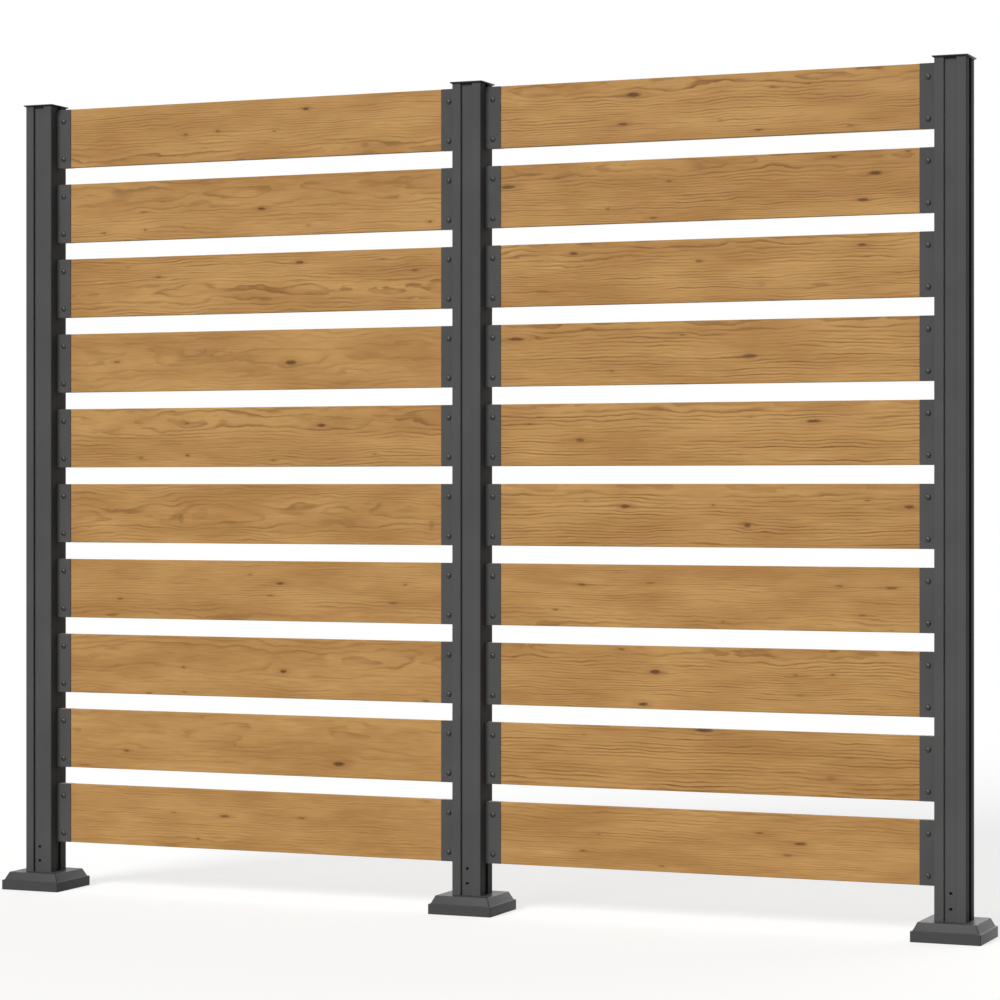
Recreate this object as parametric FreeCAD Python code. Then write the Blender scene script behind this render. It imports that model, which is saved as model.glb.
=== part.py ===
import FreeCAD, Part
import os

from FreeCAD import Vector

# Garden privacy screen: three aluminium posts carry two bays of horizontal wooden planks.
# Millimetres. +X runs along the screen, the front faces -Y, +Z is up and the ground is z = 0.
# The origin is on the ground, in the middle of the middle post.

# Layout of the screen
POST_SPACING = 1120.0
PLANKS_PER_BAY = 10
PLANK_GAP = 40.0
LOWEST_PLANK_BOTTOM = 113.0
POST_ABOVE_PLANKS = 7.0

# Plank
PLANK_HEIGHT = 140.0
PLANK_THICKNESS = 15.0
PLANK_EDGE_RADIUS = 1.5
PLANK_END_GAP = 3.2

# Post extrusion: T-slots down both sides, a wide recess down the front and the rear
POST_SIZE = 70.0
POST_CORNER_RADIUS = 2.0
POST_WALL = 2.0
SLOT_DEPTH = 6.0
SLOT_LIP = 2.0
SLOT_UNDERCUT = 5.0
RECESS_WIDTH = 28.0
RECESS_DEPTH = 6.0

# Plank bracket: a channel round the plank's end, with a T-shaped foot in the post's slot
BRACKET_SHEET = 1.8
BRACKET_REACH = 38.5
PLANK_FIT = 0.2
SLOT_SIDE_FIT = 0.5
FOOT_FIT = 0.3

# Plank screws, two on the front of every bracket
SCREW_DIAMETER = 4.2
SCREW_LENGTH = 13.0
SCREW_HEAD_DIAMETER = 12.5
SCREW_HEAD_HEIGHT = 3.6
SCREW_DRIVE_SPAN = 4.8
SCREW_DRIVE_WIDTH = 0.9
SCREW_DRIVE_DEPTH = 1.4
SCREW_FROM_BRACKET_END = 19.0
UPPER_SCREW_FROM_PLANK_TOP = 29.0
LOWER_SCREW_FROM_PLANK_BOTTOM = 21.0
SCREW_HOLE_FIT = 0.05

# Stop screws, one through each of the lowest brackets into the floor of the slot
STOP_SCREW_DIAMETER = 4.8
STOP_SCREW_HEAD_DIAMETER = 9.2
STOP_SCREW_HEAD_HEIGHT = 2.4
STOP_SCREW_PAST_FLOOR = 3.0

# Floor flange: an anchor plate with a square stub that stands inside the post
FLANGE_SIZE = 130.0
FLANGE_THICKNESS = 8.0
FLANGE_CORNER_RADIUS = 8.0
ANCHOR_SPACING = 100.0
ANCHOR_HOLE_DIAMETER = 11.0
STUB_HEIGHT = 120.0
STUB_WALL = 5.0
STUB_FIT = 0.3

# Foot screws, two in each post's front recess, one over the other
FOOT_SCREW_DIAMETER = 6.0
FOOT_SCREW_LENGTH = 8.0
FOOT_SCREW_HEIGHT = 67.5
FOOT_SCREW_PITCH = 33.5
FOOT_SCREW_SOCKET_WIDTH = 3.0
FOOT_SCREW_SOCKET_DEPTH = 2.5
FOOT_SCREW_SUNK = 0.5
POST_HOLE_DIAMETER = 7.2

# Base cover: a loose sleeve over the flange
COVER_SIZE = 154.0
COVER_HEIGHT = 41.5
COVER_SKIRT = 23.0
COVER_LEDGE = 4.0
COVER_SLOPE_INSET = 9.0
COVER_WALL = 2.0
COVER_CORNER_RADIUS = 3.0
COVER_POST_FIT = 0.5

# Post cap: a thin plate with a bevelled underside and a hollow plug
CAP_OVERHANG = 4.5
CAP_EDGE = 2.0
CAP_BEVEL_HEIGHT = 2.5
CAP_TOP_CHAMFER = 0.5
CAP_PLUG_DEPTH = 22.0
CAP_PLUG_WALL = 2.0
CAP_PLUG_FIT = 0.15

# Sizes that follow from the ones above
PLANK_PITCH = PLANK_HEIGHT + PLANK_GAP
PLANKS_TOP = LOWEST_PLANK_BOTTOM + PLANKS_PER_BAY * PLANK_PITCH - PLANK_GAP
POST_BOTTOM = FLANGE_THICKNESS
POST_TOP = PLANKS_TOP + POST_ABOVE_PLANKS
HALF_POST = POST_SIZE / 2
CHANNEL_HALF = PLANK_THICKNESS / 2 + PLANK_FIT
BRACKET_HALF = CHANNEL_HALF + BRACKET_SHEET
SLOT_HALF = BRACKET_HALF + SLOT_SIDE_FIT
UNDERCUT_HALF = SLOT_HALF + SLOT_UNDERCUT
FOOT_HALF = UNDERCUT_HALF - SLOT_SIDE_FIT
SLOT_FLOOR = HALF_POST - SLOT_DEPTH
RECESS_FLOOR = HALF_POST - RECESS_DEPTH
CORE_HALF_X = SLOT_FLOOR - POST_WALL
CORE_HALF_Y = RECESS_FLOOR - POST_WALL
CLEAR_BAY = POST_SPACING - POST_SIZE
PLANK_END = BRACKET_SHEET + PLANK_END_GAP
PLANK_LENGTH = CLEAR_BAY - 2 * PLANK_END

POST_X = {"left": -POST_SPACING, "middle": 0.0, "right": POST_SPACING}

# Each column of brackets: its name, the post that carries it and the way it faces from there
COLUMNS = (
    ("left_bay_left_end", "left", 1),
    ("left_bay_right_end", "middle", -1),
    ("right_bay_left_end", "middle", 1),
    ("right_bay_right_end", "right", -1),
)
BAY_CENTRES = {"left": -POST_SPACING / 2, "right": POST_SPACING / 2}


def prism(points, bottom, top):
    """Upright prism over a closed outline of (x, y) points."""
    corners = [Vector(x, y, bottom) for x, y in points]
    outline = Part.makePolygon(corners + corners[:1])
    return Part.Face(outline).extrude(Vector(0, 0, top - bottom))


def rounded_outline(half_x, half_y, radius, z):
    """Closed wire of a rectangle with rounded corners, centred on the z axis."""
    edges = []
    inner_x = half_x - radius
    inner_y = half_y - radius
    diagonal = radius * 0.5 ** 0.5
    signs = ((1, 1), (-1, 1), (-1, -1), (1, -1))
    for i, (sx, sy) in enumerate(signs):
        middle = Vector(sx * (inner_x + diagonal), sy * (inner_y + diagonal), z)
        on_x_side = Vector(sx * half_x, sy * inner_y, z)
        on_y_side = Vector(sx * inner_x, sy * half_y, z)
        start, end = (on_x_side, on_y_side) if sx * sy > 0 else (on_y_side, on_x_side)
        edges.append(Part.Arc(start, middle, end).toShape())
        next_sx, next_sy = signs[(i + 1) % 4]
        if sx * sy > 0:
            after = Vector(next_sx * inner_x, next_sy * half_y, z)
        else:
            after = Vector(next_sx * half_x, next_sy * inner_y, z)
        edges.append(Part.LineSegment(end, after).toShape())
    return Part.Wire(edges)


def rounded_block(half_x, half_y, radius, bottom, top):
    """Upright block with rounded vertical edges, centred on the z axis."""
    face = Part.Face(rounded_outline(half_x, half_y, radius, bottom))
    return face.extrude(Vector(0, 0, top - bottom))


def square_block(half_x, half_y, bottom, top):
    """Upright block with sharp edges, centred on the z axis."""
    corner = Vector(-half_x, -half_y, bottom)
    return Part.makeBox(2 * half_x, 2 * half_y, top - bottom, corner)


def rounded_frustum(half_bottom, half_top, radius, bottom, top):
    """Square frustum with rounded corners of one radius."""
    lower = rounded_outline(half_bottom, half_bottom, radius, bottom)
    upper = rounded_outline(half_top, half_top, radius, top)
    return Part.makeLoft([lower, upper], True, True)


def moved(shape, x, y=0.0, z=0.0):
    """Copy of a shape, shifted."""
    copy = shape.copy()
    copy.translate(Vector(x, y, z))
    return copy


def write_node(name, solids):
    """Write one node's solids to its own STEP file."""
    shape = solids[0] if len(solids) == 1 else Part.makeCompound(solids)
    shape.exportStep(f"parts/{name}.step")


def plank_bottoms():
    """Height of the lower edge of each plank in a bay, from the lowest one up."""
    return [LOWEST_PLANK_BOTTOM + row * PLANK_PITCH for row in range(PLANKS_PER_BAY)]


def foot_screw_heights():
    """Heights of the two foot screws of a post."""
    return (FOOT_SCREW_HEIGHT, FOOT_SCREW_HEIGHT + FOOT_SCREW_PITCH)


def screw_heights(plank_bottom):
    """Heights of the two screws on one bracket."""
    top = plank_bottom + PLANK_HEIGHT
    return (plank_bottom + LOWER_SCREW_FROM_PLANK_BOTTOM, top - UPPER_SCREW_FROM_PLANK_TOP)


# ---- Posts ----

def post_outline_quarter():
    """Corners of the post's outside from the middle of the +X side to the middle of the rear."""
    undercut_face = HALF_POST - SLOT_LIP
    return [
        (SLOT_FLOOR, UNDERCUT_HALF),
        (undercut_face, UNDERCUT_HALF),
        (undercut_face, SLOT_HALF),
        (HALF_POST, SLOT_HALF),
        (HALF_POST, HALF_POST),
        (RECESS_WIDTH / 2, HALF_POST),
        (RECESS_WIDTH / 2, RECESS_FLOOR),
    ]


def core_outline_quarter():
    """Corners of the post's hollow core, over the same quarter."""
    chamber = HALF_POST - POST_WALL
    beside_slot = UNDERCUT_HALF + POST_WALL
    beside_recess = RECESS_WIDTH / 2 + POST_WALL
    return [
        (CORE_HALF_X, beside_slot),
        (chamber, beside_slot),
        (chamber, chamber),
        (beside_recess, chamber),
        (beside_recess, CORE_HALF_Y),
    ]


def whole_outline(quarter):
    """Mirror a quarter outline about both axes into a closed one, counter-clockwise."""
    half = quarter + [(-x, y) for x, y in reversed(quarter)]
    return half + [(-x, -y) for x, y in half]


def post():
    """Hollow post with its slots, recesses and foot-screw holes, at x = 0."""
    blank = rounded_block(HALF_POST, HALF_POST, POST_CORNER_RADIUS, POST_BOTTOM, POST_TOP)
    body = blank.common(prism(whole_outline(post_outline_quarter()), POST_BOTTOM, POST_TOP))
    body = body.cut(prism(whole_outline(core_outline_quarter()), POST_BOTTOM, POST_TOP))
    for height in foot_screw_heights():
        start = Vector(0, -HALF_POST, height)
        depth = HALF_POST - CORE_HALF_Y + POST_WALL
        body = body.cut(Part.makeCylinder(POST_HOLE_DIAMETER / 2, depth, start, Vector(0, 1, 0)))
    return body


def with_stop_screw_holes(body, x, sides):
    """Drill the slot floors of one post for the stop screws."""
    height = LOWEST_PLANK_BOTTOM + PLANK_HEIGHT / 2
    for side in sides:
        start = Vector(x + side * (CORE_HALF_X - POST_WALL), 0, height)
        radius = STOP_SCREW_DIAMETER / 2 + SCREW_HOLE_FIT
        reach = 3 * POST_WALL
        body = body.cut(Part.makeCylinder(radius, reach, start, Vector(side, 0, 0)))
    return body


def cap():
    """Cap plate with its plug, at x = 0."""
    half_plate = HALF_POST + CAP_OVERHANG
    edge_bottom = POST_TOP + CAP_BEVEL_HEIGHT
    edge_top = edge_bottom + CAP_EDGE
    radius = POST_CORNER_RADIUS
    bevel = rounded_frustum(HALF_POST, half_plate, radius, POST_TOP, edge_bottom)
    edge = rounded_block(half_plate, half_plate, radius, edge_bottom, edge_top - CAP_TOP_CHAMFER)
    crown = rounded_frustum(
        half_plate, half_plate - CAP_TOP_CHAMFER, radius, edge_top - CAP_TOP_CHAMFER, edge_top
    )
    plug_x = CORE_HALF_X - CAP_PLUG_FIT
    plug_y = CORE_HALF_Y - CAP_PLUG_FIT
    plug_bottom = POST_TOP - CAP_PLUG_DEPTH
    plug = square_block(plug_x, plug_y, plug_bottom, POST_TOP)
    hollow = square_block(plug_x - CAP_PLUG_WALL, plug_y - CAP_PLUG_WALL, plug_bottom, POST_TOP)
    return bevel.fuse([edge, crown, plug.cut(hollow)]).removeSplitter()


# ---- Feet ----

def floor_flange():
    """Anchor plate with its stub and tapped holes, at x = 0."""
    half = FLANGE_SIZE / 2
    stub_top = FLANGE_THICKNESS + STUB_HEIGHT
    plate = rounded_block(half, half, FLANGE_CORNER_RADIUS, 0, FLANGE_THICKNESS)
    stub_x = CORE_HALF_X - STUB_FIT
    stub_y = CORE_HALF_Y - STUB_FIT
    stub = square_block(stub_x, stub_y, FLANGE_THICKNESS, stub_top)
    hollow = square_block(stub_x - STUB_WALL, stub_y - STUB_WALL, FLANGE_THICKNESS, stub_top)
    body = plate.fuse(stub.cut(hollow)).removeSplitter()
    for sx in (-1, 1):
        for sy in (-1, 1):
            centre = Vector(sx * ANCHOR_SPACING / 2, sy * ANCHOR_SPACING / 2, 0)
            body = body.cut(Part.makeCylinder(ANCHOR_HOLE_DIAMETER / 2, FLANGE_THICKNESS, centre))
    for height in foot_screw_heights():
        start = Vector(0, -HALF_POST, height)
        radius = FOOT_SCREW_DIAMETER / 2 + SCREW_HOLE_FIT
        depth = HALF_POST - stub_y + 2 * STUB_WALL
        body = body.cut(Part.makeCylinder(radius, depth, start, Vector(0, 1, 0)))
    return body


def foot_screw(height):
    """Headless screw with a hexagon socket, sunk in the post's front recess."""
    front = -RECESS_FLOOR + FOOT_SCREW_SUNK
    along = Vector(0, 1, 0)
    shank = Part.makeCylinder(FOOT_SCREW_DIAMETER / 2, FOOT_SCREW_LENGTH, Vector(0, front, height), along)
    across_corners = FOOT_SCREW_SOCKET_WIDTH / 3 ** 0.5
    step = Vector(0, 0, across_corners)
    turn = FreeCAD.Rotation(along, 60)
    corners = []
    for _ in range(6):
        corners.append(Vector(0, front, height) + step)
        step = turn.multVec(step)
    socket = Part.Face(Part.makePolygon(corners + corners[:1]))
    return shank.cut(socket.extrude(along * FOOT_SCREW_SOCKET_DEPTH))


def base_cover():
    """Loose cover with a skirt, a narrow ledge, a sloped shoulder and a flat top, at x = 0."""
    half = COVER_SIZE / 2
    slope_foot = half - COVER_LEDGE
    slope_head = slope_foot - COVER_SLOPE_INSET

    def hollow_form(inset, drop):
        """The cover's outside, moved in and down by the wall."""
        radius = COVER_CORNER_RADIUS - inset
        ledge = COVER_SKIRT - drop
        skirt = rounded_block(half - inset, half - inset, radius, 0, ledge)
        slope = rounded_frustum(slope_foot - inset, slope_head - inset, radius, ledge, COVER_HEIGHT - drop)
        return skirt.fuse(slope)

    outside = hollow_form(0.0, 0.0)
    inside = hollow_form(COVER_WALL, COVER_WALL)
    hole_half = HALF_POST + COVER_POST_FIT
    hole = rounded_block(hole_half, hole_half, POST_CORNER_RADIUS, 0, COVER_HEIGHT)
    return outside.cut(inside).cut(hole).removeSplitter()


# ---- Planks and what holds them ----

def pilot_holes(x, plank_bottom):
    """Blind holes in a plank for the two screws of the bracket at x."""
    depth = SCREW_LENGTH + 2 * SCREW_HOLE_FIT
    radius = SCREW_DIAMETER / 2 + SCREW_HOLE_FIT
    return [
        Part.makeCylinder(radius, depth, Vector(x, -BRACKET_HALF, height), Vector(0, 1, 0))
        for height in screw_heights(plank_bottom)
    ]


def screw_x(face_x, side):
    """Place along the screen of the screws of a bracket that starts at face_x."""
    return face_x + side * (BRACKET_REACH - SCREW_FROM_BRACKET_END)


def plank(bay_centre, bottom):
    """One plank with eased long edges and its pilot holes."""
    corner = Vector(bay_centre - PLANK_LENGTH / 2, -PLANK_THICKNESS / 2, bottom)
    board = Part.makeBox(PLANK_LENGTH, PLANK_THICKNESS, PLANK_HEIGHT, corner)
    long_edges = [edge for edge in board.Edges if abs(edge.Length - PLANK_LENGTH) < 0.001]
    board = board.makeFillet(PLANK_EDGE_RADIUS, long_edges)
    for side in (-1, 1):
        face_x = bay_centre - side * CLEAR_BAY / 2
        for hole in pilot_holes(screw_x(face_x, side), bottom):
            board = board.cut(hole)
    return board


def foot_profile(face_x, side):
    """Outline of the T-shaped foot that slides in the slot, flush with the post's side."""
    lip = face_x - side * (SLOT_LIP + FOOT_FIT)
    floor = face_x - side * (SLOT_DEPTH - FOOT_FIT)
    return [
        (face_x, -BRACKET_HALF),
        (face_x, BRACKET_HALF),
        (lip, BRACKET_HALF),
        (lip, FOOT_HALF),
        (floor, FOOT_HALF),
        (floor, -FOOT_HALF),
        (lip, -FOOT_HALF),
        (lip, -BRACKET_HALF),
    ]


def channel_profile(face_x, side):
    """Outline of the channel that holds the plank's end, open away from the post."""
    web = face_x + side * BRACKET_SHEET
    end = face_x + side * BRACKET_REACH
    return [
        (face_x, -BRACKET_HALF),
        (end, -BRACKET_HALF),
        (end, -CHANNEL_HALF),
        (web, -CHANNEL_HALF),
        (web, CHANNEL_HALF),
        (end, CHANNEL_HALF),
        (end, BRACKET_HALF),
        (face_x, BRACKET_HALF),
    ]


def bracket(face_x, side, bottom):
    """One plank bracket with its screw holes, against the post's side at face_x."""
    top = bottom + PLANK_HEIGHT
    foot = prism(foot_profile(face_x, side), bottom, top)
    channel = prism(channel_profile(face_x, side), bottom, top)
    body = foot.fuse(channel).removeSplitter()
    radius = SCREW_DIAMETER / 2 + SCREW_HOLE_FIT
    for height in screw_heights(bottom):
        start = Vector(screw_x(face_x, side), -BRACKET_HALF, height)
        body = body.cut(Part.makeCylinder(radius, BRACKET_SHEET, start, Vector(0, 1, 0)))
    return body


def slot_spacer(face_x, side, bottom):
    """One spacer that fills the slot between two brackets."""
    return prism(foot_profile(face_x, side), bottom, bottom + PLANK_GAP)


def plank_screw(x, height):
    """Domed screw through the bracket's front wall into the plank."""
    head_radius = SCREW_HEAD_DIAMETER / 2
    dome_radius = (head_radius ** 2 + SCREW_HEAD_HEIGHT ** 2) / (2 * SCREW_HEAD_HEIGHT)
    seat = -BRACKET_HALF
    ball = Part.makeSphere(dome_radius, Vector(x, seat + dome_radius - SCREW_HEAD_HEIGHT, height))
    limit_start = Vector(x, seat - SCREW_HEAD_HEIGHT, height)
    limit = Part.makeCylinder(head_radius, SCREW_HEAD_HEIGHT, limit_start, Vector(0, 1, 0))
    shank_start = Vector(x, seat, height)
    shank = Part.makeCylinder(SCREW_DIAMETER / 2, SCREW_LENGTH, shank_start, Vector(0, 1, 0))
    screw = ball.common(limit).fuse(shank)
    for span_x, span_z in ((SCREW_DRIVE_SPAN, SCREW_DRIVE_WIDTH), (SCREW_DRIVE_WIDTH, SCREW_DRIVE_SPAN)):
        corner = Vector(x - span_x / 2, seat - SCREW_HEAD_HEIGHT, height - span_z / 2)
        screw = screw.cut(Part.makeBox(span_x, SCREW_DRIVE_DEPTH, span_z, corner))
    return screw


def stop_screw(face_x, side, grow=0.0):
    """Countersunk screw from the channel's web into the slot's floor; grow widens it to a hole."""
    height = LOWEST_PLANK_BOTTOM + PLANK_HEIGHT / 2
    web = face_x + side * BRACKET_SHEET
    inward = Vector(-side, 0, 0)
    length = BRACKET_SHEET + SLOT_DEPTH + POST_WALL + STOP_SCREW_PAST_FLOOR
    shank_radius = STOP_SCREW_DIAMETER / 2 + grow
    head_radius = STOP_SCREW_HEAD_DIAMETER / 2 + grow
    start = Vector(web, 0, height)
    head = Part.makeCone(head_radius, shank_radius, STOP_SCREW_HEAD_HEIGHT, start, inward)
    shank = Part.makeCylinder(shank_radius, length, start, inward)
    return head.fuse(shank).removeSplitter()


def build_feet_and_posts():
    """Write the posts, caps, flanges, foot screws and covers."""
    bare_post = post()
    sides_used = {"left": (1,), "middle": (-1, 1), "right": (-1,)}
    for name, x in POST_X.items():
        drilled = with_stop_screw_holes(moved(bare_post, x), x, sides_used[name])
        write_node(f"post_{name}", [drilled])
        write_node(f"post_cap_{name}", [moved(cap(), x)])
        write_node(f"floor_flange_{name}", [moved(floor_flange(), x)])
        screws = [moved(foot_screw(height), x) for height in foot_screw_heights()]
        write_node(f"foot_screws_{name}", screws)
        write_node(f"base_cover_{name}", [moved(base_cover(), x)])


def build_planks():
    """Write every plank as its own node, numbered from the bottom."""
    for bay, centre in BAY_CENTRES.items():
        for row, bottom in enumerate(plank_bottoms(), start=1):
            write_node(f"plank_{bay}_bay_{row:02d}", [plank(centre, bottom)])


def build_columns():
    """Write the brackets, spacers and screws of each slot, and all the stop screws."""
    stop_screws = []
    for column, post_name, side in COLUMNS:
        face_x = POST_X[post_name] + side * HALF_POST
        brackets = [bracket(face_x, side, bottom) for bottom in plank_bottoms()]
        brackets[0] = brackets[0].cut(stop_screw(face_x, side, SCREW_HOLE_FIT))
        spacers = [
            slot_spacer(face_x, side, bottom + PLANK_HEIGHT) for bottom in plank_bottoms()[:-1]
        ]
        screws = [
            plank_screw(screw_x(face_x, side), height)
            for bottom in plank_bottoms()
            for height in screw_heights(bottom)
        ]
        write_node(f"plank_brackets_{column}", brackets)
        write_node(f"slot_spacers_{column}", spacers)
        write_node(f"plank_screws_{column}", screws)
        stop_screws.append(stop_screw(face_x, side))
    write_node("bracket_stop_screws", stop_screws)


os.makedirs("parts", exist_ok=True)
build_feet_and_posts()
build_planks()
build_columns()
cover_lift = LOWEST_PLANK_BOTTOM - COVER_HEIGHT
print(f"post top {POST_TOP:.1f} mm, plank length {PLANK_LENGTH:.1f} mm, cover lift {cover_lift:.1f} mm")
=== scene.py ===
import math
import random

import bmesh
import bpy
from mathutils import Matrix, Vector


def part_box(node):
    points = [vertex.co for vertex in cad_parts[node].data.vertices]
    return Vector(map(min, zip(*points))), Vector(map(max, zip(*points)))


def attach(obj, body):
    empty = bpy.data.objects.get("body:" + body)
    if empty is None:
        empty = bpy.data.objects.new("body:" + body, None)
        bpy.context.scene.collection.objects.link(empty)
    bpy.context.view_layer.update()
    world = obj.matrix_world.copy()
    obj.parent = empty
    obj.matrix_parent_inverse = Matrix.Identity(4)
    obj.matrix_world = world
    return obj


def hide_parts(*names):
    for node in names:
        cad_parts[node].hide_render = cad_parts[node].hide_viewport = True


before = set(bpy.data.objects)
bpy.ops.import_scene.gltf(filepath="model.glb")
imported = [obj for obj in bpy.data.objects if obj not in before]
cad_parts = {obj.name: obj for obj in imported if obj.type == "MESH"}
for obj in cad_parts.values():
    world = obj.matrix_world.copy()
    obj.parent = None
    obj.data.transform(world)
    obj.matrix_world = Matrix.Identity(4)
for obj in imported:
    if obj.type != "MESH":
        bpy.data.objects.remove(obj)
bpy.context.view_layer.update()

# A garden privacy screen: powder-coated aluminium posts and brackets, oiled softwood planks.
# Metres in Blender; the sizes named below are millimetres and are scaled by MM where they are used.
# +X runs along the screen, the front faces -Y and the ground is z = 0.

MM = 0.001

POSTS = ("left", "middle", "right")
COLUMNS = {
    "left_bay_left_end": ("left", 1),
    "left_bay_right_end": ("middle", -1),
    "right_bay_left_end": ("middle", 1),
    "right_bay_right_end": ("right", -1),
}
PLANKS_PER_BAY = 10

# Post extrusion
POST_CORNER = 2.0
POST_WALL = 2.0
SLOT_DEPTH = 6.0
SLOT_LIP = 2.0
SLOT_HALF = 10.0
UNDERCUT_HALF = 15.0
RECESS_HALF = 14.0
RECESS_DEPTH = 6.0
FOOT_HOLE_RADIUS = 3.6
FOOT_HOLE_LENGTH = 6.0
EXTRUSION_EDGE = 0.45

# Plank bracket, measured outward from the post's side and across from its middle
BRACKET_SHEET = 1.8
BRACKET_HALF = 9.5
BRACKET_REACH = 38.5
BRACKET_EDGE = 0.35
FOOT_LIP = 2.3
FOOT_FLOOR = 5.7
FOOT_HALF = 14.5
PLANK_FROM_POST = 5.0

# Plank screw
SCREW_HEAD_RADIUS = 6.25
SCREW_HEAD_HEIGHT = 3.6
SCREW_HEAD_RIM = 0.35
SCREW_SHANK_RADIUS = 2.1
SCREW_SHANK = 13.0
SCREW_DRIVE_REACH = 2.4
SCREW_DRIVE_HALF_WIDTH = 0.45
SCREW_DRIVE_DEPTH = 1.4
LOWER_SCREW_FROM_PLANK_BOTTOM = 21.0
UPPER_SCREW_FROM_PLANK_TOP = 29.0
SCREW_FROM_POST = 19.5

# Base cover
COVER_SKIRT = 23.0
COVER_LEDGE = 4.0
COVER_SLOPE_INSET = 9.0
COVER_WALL = 2.0
COVER_CORNER = 3.0
COVER_POST_FIT = 0.5
COVER_EDGE = 0.8

# Post cap
CAP_EDGE_LOW = 2.0
CAP_OVERHANG = 4.5
CAP_PLUG = 22.0
CAP_PLUG_WALL = 2.0
CAP_PLUG_CORNER = 0.5
CAP_PLUG_FIT = 0.15
CAP_EDGE = 0.35

# The camera, set so that the posts fall where the photograph has them
CAMERA_PLACE = (2.7882, -6.4868, 0.9652)
CAMERA_TURN = 22.748
CAMERA_LENS = 111.73
CAMERA_SHIFT_Y = -0.01267

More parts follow.
